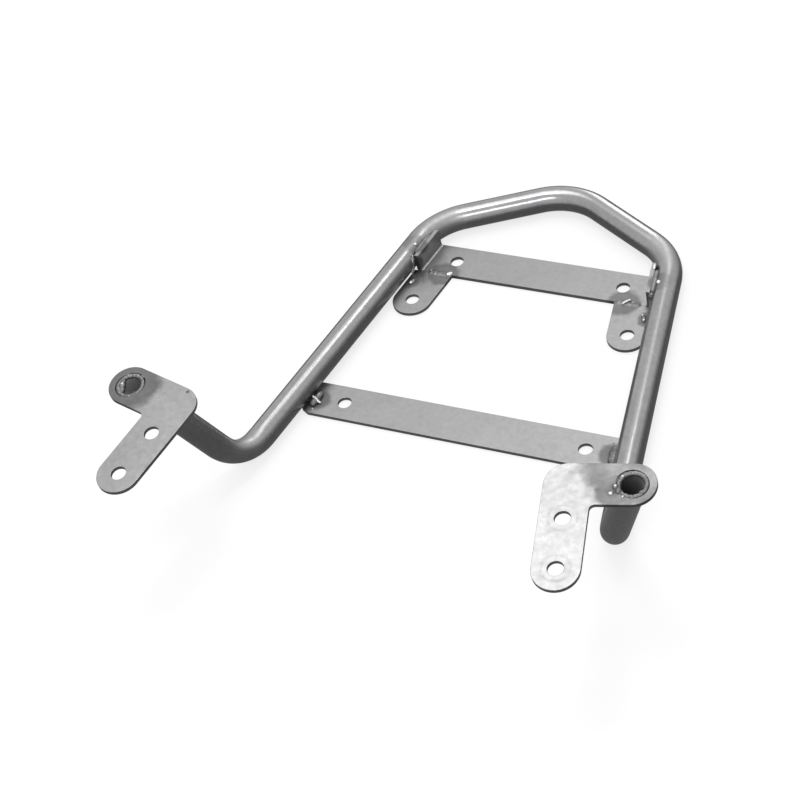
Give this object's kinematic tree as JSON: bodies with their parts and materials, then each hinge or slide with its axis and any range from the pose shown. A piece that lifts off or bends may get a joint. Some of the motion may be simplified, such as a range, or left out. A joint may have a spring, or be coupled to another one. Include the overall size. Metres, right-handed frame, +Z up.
{
  "type": "motorcycle luggage rack",
  "caption": "Welded tubular luggage rack: a bent hoop with flat cross strips, tabs and L-shaped mounting plates.",
  "frame": {"origin": "the middle of the rear cross strip's two bolt holes, on the strip's underside, which is the plane that the rack rests on", "axes": "+X to the rack's right, +Y to its rear where the hoop comes to a point, +Z up from the hoop to the mounting plates"},
  "size_m": [0.3176, 0.3601, 0.0989],
  "materials": {
    "tube": "satin bare steel tube with streaks along it",
    "strip": "satin flat bar, darker by the welds",
    "plate": "satin sheet steel, mottled, darker round the eye",
    "weld": "rough rippled weld bead"
  },
  "bodies": {
    "root": {"bent_tube": "tube", "front_cross_strip": "strip", "rear_cross_strip": "strip", "mounting_plate_right": "plate", "mounting_plate_left": "plate", "rear_tab_right": "strip", "rear_tab_left": "strip", "front_strip_weld_right": "weld", "front_strip_weld_left": "weld", "flange_edge_weld_right": "weld", "flange_edge_weld_left": "weld", "flange_top_weld_right": "weld", "flange_top_weld_left": "weld", "tab_seam_weld_right": "weld", "tab_seam_weld_left": "weld", "tab_tack_weld_right": "weld", "tab_tack_weld_left": "weld", "eye_weld_right": "weld", "eye_weld_left": "weld"}
  },
  "joints": []
}
